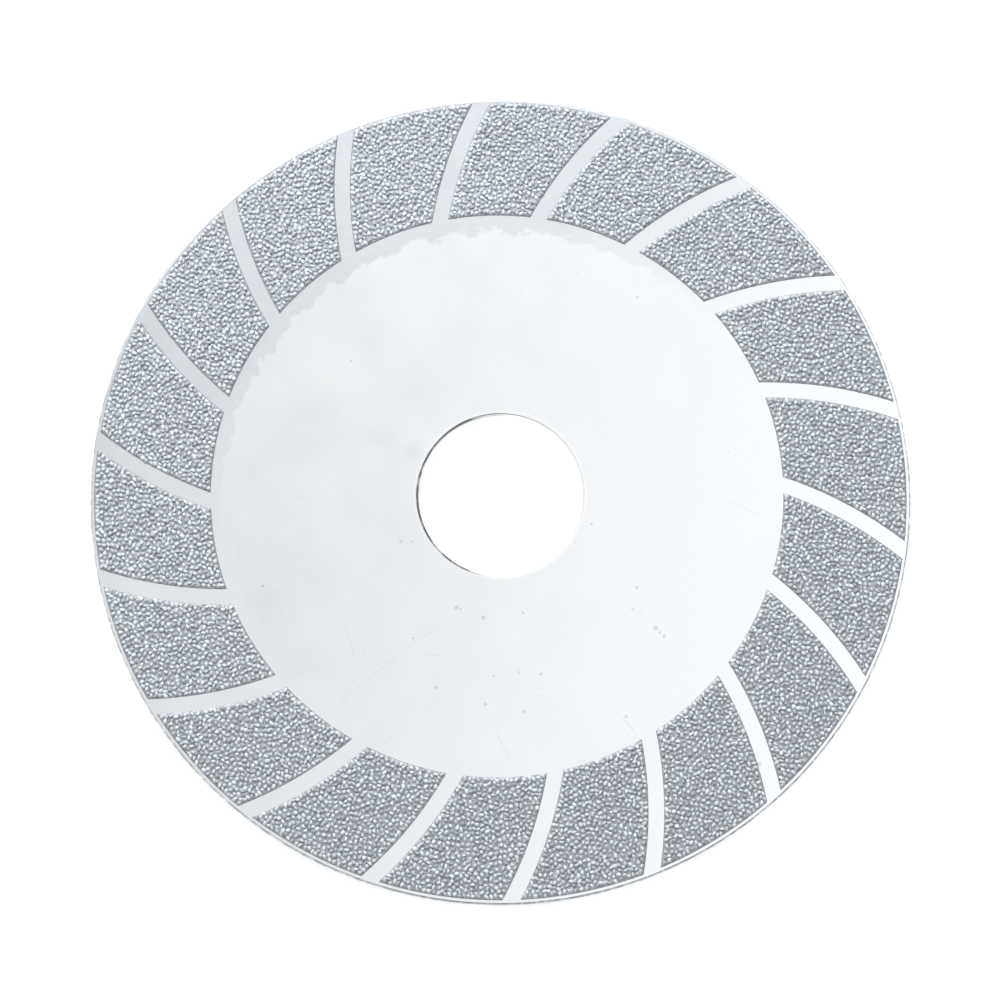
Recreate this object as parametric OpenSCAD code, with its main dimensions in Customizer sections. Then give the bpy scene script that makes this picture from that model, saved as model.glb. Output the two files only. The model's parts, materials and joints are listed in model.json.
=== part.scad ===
// Slotted diamond grinding wheel for glass, stone and tile.
// A flat steel blank carries nickel-bonded diamond deposits on both faces, with bare
// curved channels between them that carry water in and swarf out.
// The wheel lies flat with +Z along the spindle. The origin is the centre of the bore,
// halfway through the blank.

/* [Blank] */
// Outside diameter of the wheel
wheel_d = 100; // [90:1:125]
// Diameter of the bore that takes the spindle
bore_d = 20; // [16:0.5:25.5]
// Thickness of the steel blank
blank_t = 1.2; // [0.8:0.1:2]
// Width of the 45 degree bevel round the rim
rim_bevel = 0.2; // [0.1:0.05:0.3]
// Width of the 45 degree bevel round the bore
bore_bevel = 0.2; // [0.1:0.05:0.3]

/* [Diamond deposits] */
// Height of a deposit above the steel, up to the tips of the grit
deposit_h = 0.4; // [0.2:0.05:0.5]
// Depth of the etched seat that each deposit is plated into
seat_depth = 0.02; // [0.01:0.01:0.05]
// Diameter of the bare middle, where the flanges clamp
bare_d = 69.8; // [60:0.1:75]
// Width of the bare steel left between the deposits and the rim
rim_margin = 0.5; // [0.4:0.05:1]
// How far the plating mask sits off the wheel's centre along X
mask_shift_x = -0.4; // [-0.5:0.05:0.5]
// How far the plating mask sits off the wheel's centre along Y
mask_shift_y = 0.2; // [-0.5:0.05:0.5]

/* [Channels] */
// Number of channels, and so of deposits, on each face
channel_count = 18; // [12:1:24]
// Width of a channel
channel_w = 1.9; // [1.2:0.1:2.6]
// Radius of each channel's arc, whose circle also passes through the mask's centre
channel_arc_r = 49; // [46:1:60]
// Direction from the mask's centre to the centre of the first channel's arc, in degrees
first_arc_angle = -47.2; // [-60:0.1:0]

/* [Hidden] */
// Curves are drawn with this many sides
$fn = 240;
// Extra length for cutting tools, so that no two faces coincide
overcut = 1;
wheel_r = wheel_d / 2;
bore_r = bore_d / 2;
bare_r = bare_d / 2;
face_z = blank_t / 2;
channel_pitch = 360 / channel_count;
numbers = [for (i = [1 : channel_count]) i];

function two_digits(i) = str(i < 10 ? "0" : "", i);
function front_name(i) = str("front_diamond_deposit_", two_digits(i));
function back_name(i) = str("back_diamond_deposit_", two_digits(i));

// The disc inside one edge of the numbered channel's arc; grow is half a channel's width,
// positive for the outer edge and negative for the inner one.
module arc_disc(i, grow) {
    rotate(first_arc_angle + (i - 1) * channel_pitch)
        translate([channel_arc_r, 0])
            circle(r = channel_arc_r + grow);
}

// Outline of one deposit: from its own channel round to the next one, counterclockwise,
// between the bare middle and the bare rim margin.
module deposit_outline(i) {
    difference() {
        intersection() {
            circle(r = wheel_r - rim_margin);
            translate([mask_shift_x, mask_shift_y])
                arc_disc(i + 1, -channel_w / 2);
        }
        translate([mask_shift_x, mask_shift_y]) {
            arc_disc(i, channel_w / 2);
            circle(r = bare_r);
        }
    }
}

// One deposit as plated on the front face, from the floor of its seat to the grit's tips.
module deposit_solid(i) {
    translate([0, 0, face_z - seat_depth])
        linear_extrude(seat_depth + deposit_h)
            deposit_outline(i);
}

// Etched seats of all the deposits on the front face.
module seat_cuts() {
    for (i = numbers)
        translate([0, 0, face_z - seat_depth])
            linear_extrude(seat_depth + overcut)
                deposit_outline(i);
}

// Turns the front face's pattern over onto the back face.
module on_back() {
    rotate([180, 0, 0])
        children();
}

// Half section of the blank: flat faces, straight bore wall and rim, and four bevels.
module blank_section() {
    polygon([
        [bore_r, -face_z + bore_bevel],
        [bore_r + bore_bevel, -face_z],
        [wheel_r - rim_bevel, -face_z],
        [wheel_r, -face_z + rim_bevel],
        [wheel_r, face_z - rim_bevel],
        [wheel_r - rim_bevel, face_z],
        [bore_r + bore_bevel, face_z],
        [bore_r, face_z - bore_bevel]
    ]);
}

module steel_blank() {
    color("#e8edf0")
        difference() {
            rotate_extrude()
                blank_section();
            seat_cuts();
            on_back()
                seat_cuts();
        }
}

module front_diamond_deposit(i) {
    color("#aab0b6")
        deposit_solid(i);
}

module back_diamond_deposit(i) {
    color("#aab0b6")
        on_back()
            deposit_solid(i);
}

steel_blank();
for (i = numbers) {
    front_diamond_deposit(i);
    back_diamond_deposit(i);
}
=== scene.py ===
import json
import math

import bmesh
import bpy
import numpy as np
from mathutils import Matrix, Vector
from mathutils.geometry import tessellate_polygon


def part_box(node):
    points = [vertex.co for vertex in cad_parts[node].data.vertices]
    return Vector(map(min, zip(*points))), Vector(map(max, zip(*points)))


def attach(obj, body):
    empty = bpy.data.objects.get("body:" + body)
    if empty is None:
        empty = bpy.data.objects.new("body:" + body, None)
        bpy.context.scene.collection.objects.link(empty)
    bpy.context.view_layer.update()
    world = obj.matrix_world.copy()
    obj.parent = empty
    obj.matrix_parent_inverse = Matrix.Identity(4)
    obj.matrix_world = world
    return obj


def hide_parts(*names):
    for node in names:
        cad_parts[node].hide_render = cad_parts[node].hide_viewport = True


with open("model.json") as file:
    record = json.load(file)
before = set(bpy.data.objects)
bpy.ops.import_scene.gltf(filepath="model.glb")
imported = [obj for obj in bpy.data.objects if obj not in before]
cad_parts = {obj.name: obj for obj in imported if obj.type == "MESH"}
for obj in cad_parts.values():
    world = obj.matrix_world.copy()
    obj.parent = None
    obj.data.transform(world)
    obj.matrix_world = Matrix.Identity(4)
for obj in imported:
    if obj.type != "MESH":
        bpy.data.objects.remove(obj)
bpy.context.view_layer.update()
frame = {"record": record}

# ---------------------------------------------------------------------------
# Sizes, in metres. The wheel lies flat with +Z out of its front face.
# ---------------------------------------------------------------------------
MM = 0.001
BLANK_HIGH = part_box("steel_blank")[1]
WHEEL_R = BLANK_HIGH.x
FACE_Z = BLANK_HIGH.z
GRIT_TOP_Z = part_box("front_diamond_deposit_01")[1].z
SEAT_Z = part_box("front_diamond_deposit_01")[0].z
BORE_R = next(m for m in frame["record"]["mounts"] if m["name"] == "bore")["dims"]["r_mm"] * MM

# The plating mask's pattern, as in the CAD source
BEVEL = 0.2 * MM
RIM_MARGIN = 0.5 * MM
DEPOSIT_R = WHEEL_R - RIM_MARGIN
BARE_R = 34.9 * MM
MASK_CENTRE = np.array([-0.4, 0.2]) * MM
CHANNEL_COUNT = 18
CHANNEL_PITCH = 2 * math.pi / CHANNEL_COUNT
CHANNEL_W = 1.9 * MM
CHANNEL_ARC_R = 49 * MM
FIRST_ARC_ANGLE = math.radians(-47.2)

# Nickel bond: height above the steel, climb round a grain and how far that reaches,
# unevenness of the mesh and of its top, and mesh steps across and along a deposit
BOND_H = 0.08 * MM
BOND_EDGE_H = 0.6 * BOND_H
MENISCUS_H = 0.04 * MM
MENISCUS_REACH = 0.3 * MM
BOND_JITTER = 0.025 * MM
BOND_LUMPS = 0.015 * MM
BOND_STEPS = (84, 80)

# Grit: least spacing before the evening out, diameters, how far a grain may sink below the
# tallest, distance of the centres from a deposit's outline, number of places tried, number of
# different grains, their usual tilt in radians, rounds of evening out, and how near a
# neighbour is when the tones are shared out
GRAIN_SPACING = 0.47 * MM
GRAIN_D = (0.52 * MM, 0.66 * MM)
GRAIN_SINK = 0.08 * MM
GRAIN_INSET = 0.14 * MM
GRAIN_TRIES = 16000
GRAIN_SHAPES = 32
GRAIN_LEAN = 0.3
EVENING_STEPS = 4
NEIGHBOUR = 1.0 * MM
SEED = 20


def new_object(name, mesh):
    piece = bpy.data.objects.new(name, mesh)
    bpy.context.scene.collection.objects.link(piece)
    return piece


# ---------------------------------------------------------------------------
# Materials
# ---------------------------------------------------------------------------
class Nodes:
    """A short way to write a material's node tree."""

    def __init__(self, name):
        self.material = bpy.data.materials.new(name)
        self.material.use_nodes = True
        self.tree = self.material.node_tree
        self.shader = self.tree.nodes["Principled BSDF"]
        self.place = self.add("ShaderNodeTexCoord").outputs["Object"]

    def add(self, kind, inputs=None, **settings):
        node = self.tree.nodes.new(kind)
        for key, value in settings.items():
            setattr(node, key, value)
        for key, value in (inputs or {}).items():
            self.put(node.inputs[key], value)
        return node

    def put(self, socket, value):
        if isinstance(value, bpy.types.NodeSocket):
            self.tree.links.new(value, socket)
        else:
            socket.default_value = value

    def set(self, **inputs):
        for key, value in inputs.items():
            self.put(self.shader.inputs[key.replace("_", " ")], value)

    def math(self, operation, a, b=0.0, clamp=False):
        node = self.add("ShaderNodeMath", {0: a, 1: b}, operation=operation, use_clamp=clamp)
        return node.outputs[0]

    def vector_math(self, operation, a, b):
        return self.add("ShaderNodeVectorMath", {0: a, 1: b}, operation=operation)

    def scaled(self, vector, factors):
        return self.vector_math("MULTIPLY", vector, factors).outputs[0]

    def distance(self, vector, point):
        return self.vector_math("DISTANCE", vector, point).outputs["Value"]

    def dot(self, vector, direction):
        return self.vector_math("DOT_PRODUCT", vector, direction).outputs["Value"]

    def noise(self, size, detail=3.0, roughness=0.5, vector=None):
        """Fractal noise from 0 to 1 whose features are about that size, in metres."""
        node = self.add("ShaderNodeTexNoise", {"Vector": vector or self.place, "Scale": 1 / size,
                                               "Detail": detail, "Roughness": roughness})
        return node.outputs["Fac"]

    def ramp(self, value, low, high, out_low=0.0, out_high=1.0):
        node = self.add("ShaderNodeMapRange", {"Value": value, "From Min": low, "From Max": high,
                                               "To Min": out_low, "To Max": out_high},
                        interpolation_type="SMOOTHSTEP")
        return node.outputs[0]

    def mix(self, factor, a, b):
        node = self.add("ShaderNodeMix", data_type="RGBA")
        self.put(node.inputs[0], factor)
        self.put(node.inputs[6], a)
        self.put(node.inputs[7], b)
        return node.outputs[2]

    def bump(self, height, depth):
        """Surface normal from a height of 0 to 1 that stands for that depth, in metres."""
        node = self.add("ShaderNodeBump", {"Height": height, "Distance": depth, "Strength": 1.0})
        self.set(Normal=node.outputs[0])


# Steel and nickel, as linear colours
STEEL_DARKER = (0.928, 0.947, 0.958, 1)
STEEL_LIGHTER = (0.945, 0.959, 0.966, 1)
STEEL_SPECKLE = (0.87, 0.895, 0.91, 1)
STEEL_STAINED = (0.772, 0.806, 0.845, 1)
STEEL_SCRATCHED = (0.55, 0.60, 0.66, 1)
STEEL_PITTED = (0.42, 0.47, 0.53, 1)
STEEL_BURNISHED = (0.985, 0.99, 0.995, 1)
# Painted shade: the dark line drawn along the rim's bevels
RIM_PAINTED_SHADE = (0.22, 0.235, 0.25, 1)
# Painted shade: the dark ring drawn round the bore, heaviest on its left
BORE_PAINTED_SHADE = (0.14, 0.15, 0.16, 1)
NICKEL_DARKER = (0.28, 0.295, 0.312, 1)
NICKEL_LIGHTER = (0.40, 0.418, 0.439, 1)
NICKEL_PATCH = (0.30, 0.33, 0.36, 1)

# Depth of the bumps in the steel and in the nickel
STEEL_BUMP = 0.003 * MM
NICKEL_BUMP = 0.01 * MM


def front_only(m):
    """1 on the front face and the upper half of the edges, 0 on the back."""
    return m.ramp(m.dot(m.place, (0, 0, 1)), -0.1 * MM, 0.1 * MM)


# Soft stains on the front: x, y and size in mm
PATCHES = [
    (-29.2, -8.2, 2.6), (-28.5, -13.1, 2.6), (-24.2, -21.1, 2.8), (-13.4, 6.7, 1.9),
    (-10.6, 5.4, 1.3),
]

# Scratches and smears on the front, as short arcs: x and y of the middle, direction in degrees,
# radius of the arc (its centre is to the right of the direction), half length, half width,
# strength from 0 to 1; lengths in mm
SCRATCHES = [
    (-13.9, -21.1, 39, 80, 8, 0.07, 0.8),
    (-16.5, 11.6, -61, 12, 3.6, 0.4, 0.4),
    (-18.2, -18.2, -72, 30, 2.5, 0.14, 0.5),
    (-16.9, -18.4, -64, 30, 2.2, 0.12, 0.35),
    (-8.2, -19.8, -8, 14, 1.3, 0.12, 0.5),
    (-27.4, -3.0, 45, 30, 1.2, 0.12, 0.8),
    (-28.2, -3.6, 45, 30, 0.9, 0.1, 0.6),
    (0.4, -30.7, -60, 20, 1.8, 0.08, 0.7),
    (15.6, -28.2, -50, 14, 1.4, 0.14, 0.5),
    (-13, -30, 40, 30, 0.9, 0.1, 0.5),
    (-18.6, -25.6, -55, 20, 1.2, 0.1, 0.4),
    (-19.5, 2, 33, 26, 7, 0.35, 0.2),
    (29.5, -1.4, -25, 60, 2.6, 0.1, 0.25),
]

# Larger pits on the front: x, y and radius in mm
PITS = [
    (-5.3, -14, 0.24), (-4.8, -14.2, 0.16), (-2, -15.2, 0.25), (2.8, -14.6, 0.15),
    (16.6, -11.4, 0.2), (16.1, -14.1, 0.15), (18.9, -16.4, 0.28), (19.4, -16.9, 0.18),
    (19.9, -17.4, 0.2), (-7.7, -23.8, 0.2), (-1.7, -25.8, 0.18), (3, -26.7, 0.2),
    (5, -22.1, 0.17), (2.3, -21.9, 0.15), (-0.7, -22.4, 0.15), (-12.1, -5.9, 0.18),
    (-10.8, -5.9, 0.13), (-18.4, 16.6, 0.15), (16.7, 24.8, 0.16), (11.1, -3.6, 0.15),
    (15.3, -27.2, 0.18), (-10.5, -17.8, 0.14), (31.3, -32.9, 0.3), (-28.8, -11.5, 0.16),
]


def stain(m, flat):
    """Bluish plating stain: a ragged band beside the deposits and a few soft patches."""
    from_mask = m.distance(flat, (*MASK_CENTRE, 0))
    upper_left = m.ramp(m.dot(flat, (-0.42, 0.91, 0)), 3 * MM, 36 * MM)
    ragged = m.ramp(m.noise(2.4 * MM, 4, 0.6), 0.3, 0.7)
    width = m.math("ADD", m.math("MULTIPLY", ragged, 1.5 * MM), 1.3 * MM)
    reach = m.math("ADD", from_mask, m.math("MULTIPLY", width, m.math("POWER", upper_left, 0.5)))
    band = m.math("MULTIPLY", m.ramp(reach, BARE_R - 0.3 * MM, BARE_R + 0.3 * MM), upper_left)
    wander = m.math("MULTIPLY", m.math("SUBTRACT", m.noise(3 * MM, 3), 0.5), 7 * MM)
    for x, y, size in PATCHES:
        spread = m.math("ADD", m.distance(flat, (x * MM, y * MM, 0)), wander)
        patch = m.ramp(spread, 1.7 * size * MM, -0.4 * size * MM, 0.0, 0.4)
        band = m.math("MAXIMUM", band, patch)
    return band


def scratches(m, flat):
    """Strength of the listed scratches and smears, from 0 to 1."""
    total = 0.0
    for x, y, direction, arc_r, half_length, half_width, strength in SCRATCHES:
        middle = Vector((x, y, 0)) * MM
        turn = math.radians(direction - 90)
        arc_centre = middle + Vector((math.cos(turn), math.sin(turn), 0)) * arc_r * MM
        off = m.math("ABSOLUTE", m.math("SUBTRACT", m.distance(flat, arc_centre), arc_r * MM))
        line = m.ramp(off, 1.6 * half_width * MM, 0.3 * half_width * MM, 0.0, strength)
        ends = m.ramp(m.distance(flat, middle), 1.1 * half_length * MM, 0.7 * half_length * MM)
        total = m.math("MAXIMUM", total, m.math("MULTIPLY", line, ends))
    return m.math("MULTIPLY", total, m.ramp(m.noise(0.5 * MM), 0.25, 0.6, 0.4, 1.0))


def pits(m, flat):
    """The listed pits and a sprinkling of fine ones, from 0 to 1."""
    cells = m.add("ShaderNodeTexVoronoi", {"Vector": m.place, "Scale": 1 / (3.4 * MM),
                                           "Randomness": 1.0})
    total = m.ramp(cells.outputs["Distance"], 0.05, 0.02, 0.0, 0.4)
    for x, y, radius in PITS:
        dot = m.ramp(m.distance(flat, (x * MM, y * MM, 0)), 1.7 * radius * MM, 0.1 * radius * MM)
        total = m.math("MAXIMUM", total, dot)
    return total


def edges(m, flat):
    """Weights of the painted edge shade: a broken dark line on the rim's bevels, and a dark ring
    round the bore, heavy on its left side.
    """
    from_axis = m.distance(flat, (0, 0, 0))
    broken = m.ramp(m.noise(0.7 * MM, 3, 0.6), 0.3, 0.6, 0.35, 1.0)
    # Painted shade along the rim's bevels, broken up by noise and a little heavier to the lower
    # right
    rim = m.math("MULTIPLY", m.ramp(from_axis, WHEEL_R - 0.24 * MM, WHEEL_R - 0.1 * MM), broken)
    lower_right = m.ramp(m.dot(flat, (0.7, -0.7, 0)), -25 * MM, 40 * MM, 0.85, 0.9)
    rim = m.math("MULTIPLY", rim, lower_right)
    # Painted shade round the bore: heavy on the left, and wider towards the lower left
    left = m.ramp(m.dot(flat, (-0.99, 0.07, 0)), -2.5 * MM, 5 * MM)
    wider = m.ramp(m.dot(flat, (-0.7, -0.7, 0)), 0.0, 9 * MM, 0.0, 0.12 * MM)
    inner = m.math("SUBTRACT", from_axis, wider)
    bore = m.math("MULTIPLY", m.ramp(inner, BORE_R + 0.23 * MM, BORE_R + 0.13 * MM), left)
    bore = m.math("MULTIPLY", bore, m.ramp(m.noise(2.2 * MM, 3, 0.6), 0.38, 0.55, 0.6, 1.0))
    return rim, bore


def steel_material():
    """Pale tumbled steel: rolled grain, mottling, plating stain, scratches, pits, and painted shade
    on the edges, where the steel is also rougher.
    """
    m = Nodes("blank_steel")
    flat = m.scaled(m.place, (1, 1, 0))
    front = front_only(m)
    clouds = m.noise(9 * MM, 4, 0.55)
    speckle = m.noise(0.35 * MM, 3, 0.6)
    rolled = m.noise(0.25 * MM, 4, 0.6, m.scaled(m.place, (0.07, 1, 1)))
    colour = m.mix(m.ramp(clouds, 0.3, 0.7), STEEL_DARKER, STEEL_LIGHTER)
    colour = m.mix(m.ramp(speckle, 0.3, 0.7, 0.0, 0.3), colour, STEEL_SPECKLE)
    colour = m.mix(m.math("MULTIPLY", stain(m, flat), 0.9), colour, STEEL_STAINED)
    marks = m.math("MULTIPLY", scratches(m, flat), front)
    colour = m.mix(m.math("MULTIPLY", marks, 0.55), colour, STEEL_SCRATCHED)
    holes = m.math("MULTIPLY", pits(m, flat), front)
    colour = m.mix(m.math("MULTIPLY", holes, 0.5), colour, STEEL_PITTED)
    burnished = m.ramp(m.distance(flat, (0, 0, 0)), BORE_R + 0.7 * MM, BORE_R + 0.4 * MM)
    colour = m.mix(burnished, colour, STEEL_BURNISHED)
    rim_painted_shade, bore_painted_shade = edges(m, flat)
    # Painted shade darkens the rim's bevels in a broken line
    colour = m.mix(rim_painted_shade, colour, RIM_PAINTED_SHADE)
    # Painted shade darkens a ring round the bore
    colour = m.mix(bore_painted_shade, colour, BORE_PAINTED_SHADE)
    # Where edge shade is painted, the steel is also made rougher
    dull_and_shaded_edges = m.math("MAXIMUM", rim_painted_shade, bore_painted_shade)
    uneven = m.math("ADD", m.math("MULTIPLY", speckle, 0.5), m.math("MULTIPLY", clouds, 0.5))
    rough = m.ramp(uneven, 0.3, 0.7, 0.21, 0.25)
    rough = m.math("ADD", rough, m.math("MULTIPLY", m.math("MAXIMUM", marks, dull_and_shaded_edges), 0.1))
    height = m.math("ADD", m.math("MULTIPLY", rolled, 0.5), m.math("MULTIPLY", speckle, 0.5))
    height = m.math("SUBTRACT", height, m.math("MULTIPLY", m.math("MAXIMUM", holes, marks), 0.8))
    m.bump(height, STEEL_BUMP)
    m.set(Base_Color=colour, Metallic=1.0, Roughness=rough)
    return m.material


def bond_material():
    """Electroplated nickel: satin grey lumps, darker in patches."""
    m = Nodes("nickel_bond")
    fine = m.noise(0.4 * MM, 3, 0.6)
    broad = m.noise(7 * MM, 3)
    colour = m.mix(m.ramp(fine, 0.38, 0.60), NICKEL_DARKER, NICKEL_LIGHTER)
    colour = m.mix(m.ramp(broad, 0.35, 0.65, 0.0, 0.2), colour, NICKEL_PATCH)
    m.bump(m.noise(0.15 * MM, 2, 0.5), NICKEL_BUMP)
    m.set(Base_Color=colour, Metallic=1.0, Roughness=m.ramp(fine, 0.3, 0.7, 0.7, 0.55))
    return m.material


# Grey levels of the diamond grains, from dark to white, and how common each is
GRAIN_TONES = [0.36, 0.44, 0.50, 0.55, 0.60, 0.64, 0.68]
GRAIN_TONE_SHARES = [0.10, 0.14, 0.16, 0.18, 0.18, 0.14, 0.10]


def grain_materials():
    """Frosted diamond facets in slightly bluish greys."""
    materials = []
    for number, tone in enumerate(GRAIN_TONES, start=1):
        m = Nodes(f"diamond_grain_{number}")
        m.set(Base_Color=(0.94 * tone, tone, 1.06 * tone, 1), Roughness=0.6, IOR=1.4)
        materials.append(m.material)
    return materials


# ---------------------------------------------------------------------------
# Steel blank
# ---------------------------------------------------------------------------
CORNER_SOFTNESS = 0.06 * MM
CORNER_STEPS = 4
FACE_RINGS = 9
SUPPORT_RING = 0.1 * MM
BLANK_TURNS = 720


def softened(before, corner, after):
    """A corner of an outline, rounded off by a short curve."""
    corner = Vector(corner)
    start = corner + (Vector(before) - corner).normalized() * CORNER_SOFTNESS
    end = corner + (Vector(after) - corner).normalized() * CORNER_SOFTNESS
    shares = [k / CORNER_STEPS for k in range(CORNER_STEPS + 1)]
    return [(1 - t) ** 2 * start + 2 * t * (1 - t) * corner + t * t * end for t in shares]


def blank_profile():
    """Points (radius, z) of the half section, from the bore's lower edge round to its upper.
    A support ring beside each bevel keeps the smooth shading of the faces flat."""
    corners = [(BORE_R, -FACE_Z + BEVEL), (BORE_R + BEVEL, -FACE_Z),
               (WHEEL_R - BEVEL, -FACE_Z), (WHEEL_R, -FACE_Z + BEVEL),
               (WHEEL_R, FACE_Z - BEVEL), (WHEEL_R - BEVEL, FACE_Z),
               (BORE_R + BEVEL, FACE_Z), (BORE_R, FACE_Z - BEVEL)]
    profile = []
    for i, corner in enumerate(corners):
        following = Vector(corners[(i + 1) % len(corners)])
        profile += softened(corners[i - 1], corner, following)
        width = (following - Vector(corner)).length
        if width > BORE_R:
            places = [SUPPORT_RING / width] + [k / FACE_RINGS for k in range(1, FACE_RINGS)]
            places.append(1 - SUPPORT_RING / width)
            profile += [Vector(corner).lerp(following, place) for place in places]
    return profile


def make_blank(material):
    profile = blank_profile()
    around = np.linspace(0, 2 * math.pi, BLANK_TURNS, endpoint=False)
    radius = np.array([p.x for p in profile])
    height = np.array([p.y for p in profile])
    points = np.stack([np.outer(np.cos(around), radius), np.outer(np.sin(around), radius),
                       np.tile(height, (BLANK_TURNS, 1))], axis=-1).reshape(-1, 3)
    index = np.arange(len(points)).reshape(BLANK_TURNS, -1)
    turned, along = np.roll(index, -1, axis=0), np.roll(index, -1, axis=1)
    both = np.roll(turned, -1, axis=1)
    faces = np.stack([index, turned, both, along], axis=-1).reshape(-1, 4)
    mesh = mesh_from_arrays("blank", points, faces, [material])
    piece = new_object("steel_blank_finished", mesh)
    piece.data.polygons.foreach_set("use_smooth", [True] * len(faces))
    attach(piece, "root")
    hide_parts("steel_blank")


# ---------------------------------------------------------------------------
# Diamond deposits
# ---------------------------------------------------------------------------
def edge_angle(number, radius, grow):
    """Angle about the mask's centre of one edge of a numbered channel, at that radius."""
    arc_angle = FIRST_ARC_ANGLE + (number - 1) * CHANNEL_PITCH
    edge_r = CHANNEL_ARC_R + grow
    cosine = (radius ** 2 + CHANNEL_ARC_R ** 2 - edge_r ** 2) / (2 * radius * CHANNEL_ARC_R)
    return arc_angle + np.arccos(cosine)


def outer_radius(angle):
    """Distance from the mask's centre to the deposits' outer edge, which is true to the wheel."""
    along = MASK_CENTRE[0] * np.cos(angle) + MASK_CENTRE[1] * np.sin(angle)
    return -along + np.sqrt(along ** 2 + DEPOSIT_R ** 2 - MASK_CENTRE @ MASK_CENTRE)


def deposit_point(number, u, v, inset=0.0):
    """Place on a deposit: u runs from its own channel to the next, v from the bare middle to
    the rim, and inset keeps that far inside the outline."""
    half = CHANNEL_W / 2 + inset
    inner = BARE_R + inset
    radius = inner + v * (DEPOSIT_R - BARE_R)
    for _ in range(6):
        low = edge_angle(number, radius, half)
        high = edge_angle(number + 1, radius, -half)
        angle = low + u * (high - low)
        radius = inner + v * (outer_radius(angle) - inset - inner)
    return np.stack([MASK_CENTRE[0] + radius * np.cos(angle),
                     MASK_CENTRE[1] + radius * np.sin(angle)], axis=-1)


def scatter(number, rng):
    """Grain centres in one deposit: no two closer than the spacing at first, then evened out.
    The power sends more of the places outwards, where the deposit is wider."""
    outwards = 0.92
    spread = deposit_point(number, rng.random(GRAIN_TRIES), rng.random(GRAIN_TRIES) ** outwards,
                           GRAIN_INSET)
    kept = {}
    centres = []
    for x, y in spread:
        i, j = int(x // GRAIN_SPACING), int(y // GRAIN_SPACING)
        near = [p for a in (-1, 0, 1) for b in (-1, 0, 1) for p in kept.get((i + a, j + b), ())]
        if all((p[0] - x) ** 2 + (p[1] - y) ** 2 > GRAIN_SPACING ** 2 for p in near):
            kept.setdefault((i, j), []).append((x, y))
            centres.append((x, y))
    centres = np.array(centres)
    for _ in range(EVENING_STEPS):
        owner = ((centres ** 2).sum(axis=1) - 2 * spread @ centres.T).argmin(axis=1)
        share = np.maximum(np.bincount(owner, minlength=len(centres)), 1)
        middles = [np.bincount(owner, spread[:, k], len(centres)) / share for k in (0, 1)]
        centres = np.stack(middles, axis=-1)
    return centres


def grain_shapes(rng, count):
    """Closed blocky grains about one unit across: corners of a cut cube, jittered and hulled."""
    corners = [(x, y, 0) for x in (-1, 1) for y in (-1, 1)]
    corners += [(x, 0, z) for x in (-1, 1) for z in (-1, 1)]
    corners += [(0, y, z) for y in (-1, 1) for z in (-1, 1)]
    base = np.array(corners, float) / math.sqrt(2) / 2
    shapes = []
    for _ in range(count):
        points = base * rng.uniform(0.7, 1.15, (len(base), 1)) + rng.normal(0, 0.06, base.shape)
        points *= rng.uniform((1.1, 0.75, 0.6), (1.5, 1.0, 0.85))
        work = bmesh.new()
        for p in points:
            work.verts.new(p)
        bmesh.ops.convex_hull(work, input=work.verts)
        loose = [v for v in work.verts if not v.link_faces]
        bmesh.ops.delete(work, geom=loose, context="VERTS")
        bmesh.ops.triangulate(work, faces=work.faces)
        bmesh.ops.recalc_face_normals(work, faces=work.faces)
        work.verts.index_update()
        shapes.append((np.array([v.co[:] for v in work.verts]),
                       np.array([[v.index for v in f.verts] for f in work.faces])))
        work.free()
    return shapes


def random_turns(rng, count):
    """Rotation matrices that leave each grain's long axis lying nearly flat, in any direction."""
    roll, yaw = rng.uniform(0, 2 * math.pi, (2, count))
    pitch = rng.normal(0, GRAIN_LEAN, count)
    (a, b, c), (d, e, f) = np.cos([roll, pitch, yaw]), np.sin([roll, pitch, yaw])
    return np.stack([c * b, c * e * d - f * a, c * e * a + f * d,
                     f * b, f * e * d + c * a, f * e * a - c * d,
                     -e, b * d, b * a], axis=-1).reshape(-1, 3, 3)


def mesh_from_arrays(name, points, faces, materials, tones=None):
    """A mesh from a table of points and a table of faces with equal numbers of corners."""
    corners = faces.shape[1]
    mesh = bpy.data.meshes.new(name)
    mesh.vertices.add(len(points))
    mesh.vertices.foreach_set("co", points.astype(np.float32).ravel())
    mesh.loops.add(faces.size)
    mesh.loops.foreach_set("vertex_index", faces.astype(np.int32).ravel())
    mesh.polygons.add(len(faces))
    mesh.polygons.foreach_set("loop_start", np.arange(0, faces.size, corners, dtype=np.int32))
    for material in materials:
        mesh.materials.append(material)
    if tones is not None:
        mesh.polygons.foreach_set("material_index", tones.astype(np.int32))
    mesh.update(calc_edges=True)
    mesh.validate()
    return mesh


def grain_tones(centres, rng):
    """A tone number for each grain. A grain tends to be darker where its neighbours are lighter."""
    draw = rng.normal(size=len(centres))
    apart = ((centres[:, None] - centres[None]) ** 2).sum(axis=-1)
    near = (apart < NEIGHBOUR ** 2) & (apart > 0)
    contrast = draw - 1.6 * (near @ draw) / np.maximum(near.sum(axis=1), 1)
    rank = contrast.argsort().argsort() / len(centres)
    return np.searchsorted(np.cumsum(GRAIN_TONE_SHARES)[:-1], rank)


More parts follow.
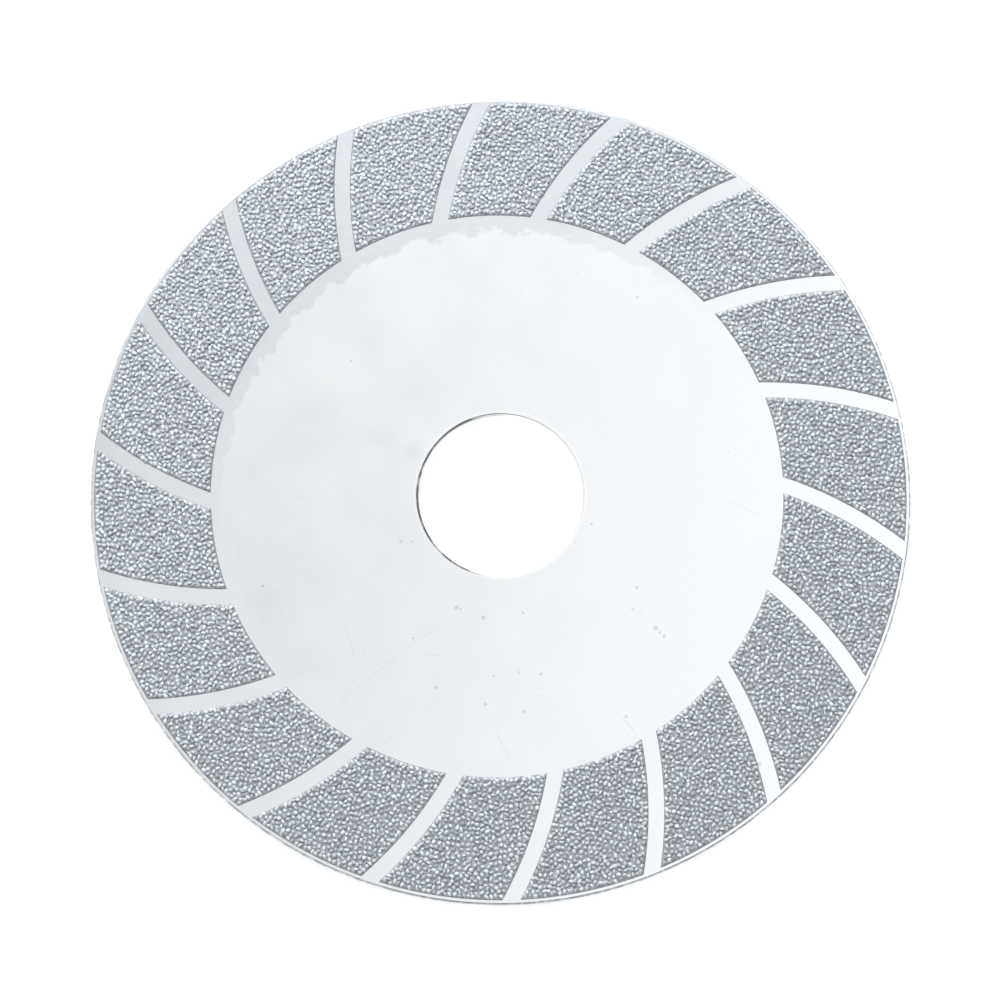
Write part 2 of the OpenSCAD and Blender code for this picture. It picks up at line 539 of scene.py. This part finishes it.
def grit_arrays(centres, shapes, rng):
    """Vertices, triangles and tone numbers of all the grains of one deposit, on the front face."""
    count = len(centres)
    diameter = rng.uniform(*GRAIN_D, count)
    turn = random_turns(rng, count)
    shape_of = rng.integers(0, len(shapes), count)
    tone_of = grain_tones(centres, rng)
    top = GRIT_TOP_Z - rng.random(count) ** 1.5 * GRAIN_SINK
    points, triangles, tones = [], [], []
    start = 0
    for k, (corners, faces) in enumerate(shapes):
        mine = np.flatnonzero(shape_of == k)
        grown = np.einsum("nij,vj->nvi", turn[mine], corners) * diameter[mine, None, None]
        low, high = grown[..., 2].min(axis=1), grown[..., 2].max(axis=1)
        room = top[mine] - SEAT_Z
        squeeze = np.minimum(1, room / (high - low))
        grown[..., 2] = (grown[..., 2] - high[:, None]) * squeeze[:, None] + top[mine, None]
        grown[..., :2] += centres[mine, None, :]
        offset = start + np.arange(len(mine)) * len(corners)
        points.append(grown.reshape(-1, 3))
        triangles.append((faces[None] + offset[:, None, None]).reshape(-1, 3))
        tones.append(np.repeat(tone_of[mine], len(faces)))
        start += len(mine) * len(corners)
    return np.concatenate(points), np.concatenate(triangles), np.concatenate(tones)


def bond_arrays(number, centres, rng):
    """Closed slab of nickel, from the floor of its seat to a lumpy top that climbs round each
    grain."""
    across, along = BOND_STEPS
    u, v = np.meshgrid(np.linspace(0, 1, across + 1), np.linspace(0, 1, along + 1), indexing="ij")
    flat = deposit_point(number, u.ravel(), v.ravel())
    inner = ((u > 0) & (u < 1) & (v > 0) & (v < 1)).ravel()
    flat[inner] += rng.normal(0, BOND_JITTER, flat.shape)[inner]
    gap = np.sqrt(((flat[:, None, :] - centres[None]) ** 2).sum(axis=-1).min(axis=1))
    climb = MENISCUS_H * np.exp(-(gap / MENISCUS_REACH) ** 2)
    height = FACE_Z + BOND_H + climb + rng.normal(0, BOND_LUMPS, len(flat))
    height[~inner] = FACE_Z + BOND_EDGE_H
    index = np.arange(len(flat)).reshape(across + 1, along + 1)
    ring = np.concatenate([index[:-1, 0], index[-1, :-1], index[:0:-1, -1], index[0, :0:-1]])
    floor = np.c_[flat[ring], np.full(len(ring), SEAT_Z)]
    points = np.concatenate([np.c_[flat, height], floor])
    a, b, c, d = index[:-1, :-1], index[1:, :-1], index[1:, 1:], index[:-1, 1:]
    below = len(flat) + np.arange(len(ring))
    following, below_following = np.roll(ring, -1), np.roll(below, -1)
    base = np.array(tessellate_polygon([[Vector(p) for p in floor]]))
    p, q, r = (floor[base[:, k], :2] for k in range(3))
    upward = (q - p)[:, 0] * (r - p)[:, 1] - (q - p)[:, 1] * (r - p)[:, 0] > 0
    base[upward] = base[upward, ::-1]
    triangles = [np.stack([a, c, b], -1).reshape(-1, 3), np.stack([a, d, c], -1).reshape(-1, 3),
                 np.stack([ring, following, below_following], -1),
                 np.stack([ring, below_following, below], -1), base + len(flat)]
    return points, np.concatenate(triangles)


def turned_over(points):
    """The front's points turned over about X, onto the back."""
    return points * (1, -1, -1)


def make_deposits(bond, grains):
    shapes = grain_shapes(np.random.default_rng(SEED), GRAIN_SHAPES)
    for side, name in enumerate(("front", "back")):
        for number in range(1, CHANNEL_COUNT + 1):
            rng = np.random.default_rng([SEED, side, number])
            centres = scatter(number, rng)
            grit_points, grit_triangles, tones = grit_arrays(centres, shapes, rng)
            bond_points, bond_triangles = bond_arrays(number, centres, rng)
            if name == "back":
                grit_points, bond_points = turned_over(grit_points), turned_over(bond_points)
            tag = f"{number:02d}"
            slab = new_object(f"{name}_nickel_bond_{tag}",
                              mesh_from_arrays("bond", bond_points, bond_triangles, [bond]))
            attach(slab, "root")
            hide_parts(f"{name}_diamond_deposit_{tag}")
            grit = new_object(f"{name}_diamond_grit_{tag}",
                              mesh_from_arrays("grit", grit_points, grit_triangles, grains, tones))
            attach(grit, "root")


# ---------------------------------------------------------------------------
# Stage, light and camera
# ---------------------------------------------------------------------------
FLOOR_R = 6.0
FLOOR_TURNS = 96
FLOOR_GLOW = 0.35
WORLD_COLOUR = (0.985, 0.993, 1.0, 1)
FLANK_LEVEL = 1.0
TOP_LEFT_LEVEL = 0.66
TOP_RIGHT_LEVEL = 1.14
KEY_PLACE = (-0.10, 0.31, 0.26)
KEY_SIZE = 0.18
KEY_POWER = 1.75
CAMERA_LENS = 157.2
CAMERA_PLACE = (0.0006, -0.10214, 0.5229 + FACE_Z)
CAMERA_AIM = (0.00002, -0.00074, FACE_Z)


def make_floor():
    """A wide pale disc under the wheel, slightly lit from within so that no shadow shows."""
    around = np.linspace(0, 2 * math.pi, FLOOR_TURNS, endpoint=False)
    ring = np.stack([FLOOR_R * np.cos(around), FLOOR_R * np.sin(around),
                     np.full(FLOOR_TURNS, -GRIT_TOP_Z)], axis=-1)
    m = Nodes("pale_floor")
    colour = m.mix(m.noise(0.4), (0.925, 0.93, 0.935, 1), (0.94, 0.943, 0.946, 1))
    m.set(Base_Color=colour, Roughness=0.9, Emission_Color=(1, 1, 1, 1),
          Emission_Strength=FLOOR_GLOW)
    mesh = mesh_from_arrays("floor", ring, np.arange(FLOOR_TURNS)[None], [m.material])
    new_object("floor", mesh)


def make_world():
    """Light tent: bright flanks, a low dark band on the shaded side that draws the edges, and a
    top that is dimmer on the left."""
    world = bpy.data.worlds.new("studio")
    bpy.context.scene.world = world
    world.use_nodes = True
    tree = world.node_tree
    background = tree.nodes["Background"]

    def add(kind, settings, *inputs):
        node = tree.nodes.new(kind)
        for key, value in settings.items():
            setattr(node, key, value)
        for socket, value in inputs:
            if isinstance(value, bpy.types.NodeSocket):
                tree.links.new(value, node.inputs[socket])
            else:
                node.inputs[socket].default_value = value
        return node

    def ramp(value, low, high, out_low, out_high):
        node = add("ShaderNodeMapRange", {"interpolation_type": "SMOOTHSTEP"}, ("Value", value),
                   ("From Min", low), ("From Max", high),
                   ("To Min", out_low), ("To Max", out_high))
        return node.outputs[0]

    def along(vector):
        """How far the view direction points along a vector."""
        node = add("ShaderNodeVectorMath", {"operation": "DOT_PRODUCT"},
                   (0, direction), (1, vector))
        return node.outputs["Value"]

    direction = tree.nodes.new("ShaderNodeTexCoord").outputs["Generated"]
    up = add("ShaderNodeSeparateXYZ", {}, (0, direction)).outputs["Z"]

    def column(levels):
        """Brightness against height, from pairs of height and level."""
        node = add("ShaderNodeValToRGB", {}, ("Fac", up))
        node.color_ramp.interpolation = "EASE"
        stops = node.color_ramp.elements
        stops[0].color = (*[levels[0][1]] * 3, 1)
        stops[1].color = (*[levels[-1][1]] * 3, 1)
        for position, level in levels[1:-1]:
            stops.new(position).color = (level, level, level, 1)
        return node.outputs["Color"]

    shaded = column([(0, 0.65), (0.07, 0.6), (0.13, 0.2), (0.22, 0.2), (0.38, 0.85),
                     (0.55, FLANK_LEVEL), (1, FLANK_LEVEL)])
    clear = column([(0, 0.9), (0.12, 0.8), (0.42, 0.62), (0.62, FLANK_LEVEL), (1, FLANK_LEVEL)])
    upper_left = ramp(along((-0.8, 0.6, 0)), -0.35, 0.5, 0.0, 1.0)
    flank = add("ShaderNodeMix", {"data_type": "RGBA"}, (0, upper_left), (6, shaded),
                (7, clear)).outputs[2]
    top = ramp(along((0.98, -0.2, 0)), -0.12, 0.05, TOP_LEFT_LEVEL, TOP_RIGHT_LEVEL)
    overhead = ramp(up, 0.80, 0.92, 0.0, 1.0)
    strength = add("ShaderNodeMix", {"data_type": "FLOAT"}, (0, overhead), (2, flank), (3, top))
    background.inputs["Color"].default_value = WORLD_COLOUR
    tree.links.new(strength.outputs[0], background.inputs["Strength"])


def make_softbox(name, place, size, power):
    """A round soft light aimed at the wheel's middle."""
    light = bpy.data.lights.new(name, "AREA")
    light.shape = "DISK"
    light.size = size
    light.energy = power
    lamp = bpy.data.objects.new(name, light)
    lamp.location = place
    lamp.rotation_euler = (-Vector(place)).to_track_quat("-Z", "Y").to_euler()
    bpy.context.scene.collection.objects.link(lamp)


def make_camera():
    data = bpy.data.cameras.new("camera")
    data.sensor_width = 36
    data.lens = CAMERA_LENS
    data.clip_start, data.clip_end = 0.01, 50
    camera = bpy.data.objects.new("camera", data)
    camera.location = CAMERA_PLACE
    aim = Vector(CAMERA_AIM) - camera.location
    camera.rotation_euler = aim.to_track_quat("-Z", "Y").to_euler()
    bpy.context.scene.collection.objects.link(camera)
    bpy.context.scene.camera = camera


make_camera()
make_blank(steel_material())
make_deposits(bond_material(), grain_materials())
make_floor()
make_world()
make_softbox("key", KEY_PLACE, KEY_SIZE, KEY_POWER)
bpy.context.scene.view_settings.view_transform = "Standard"
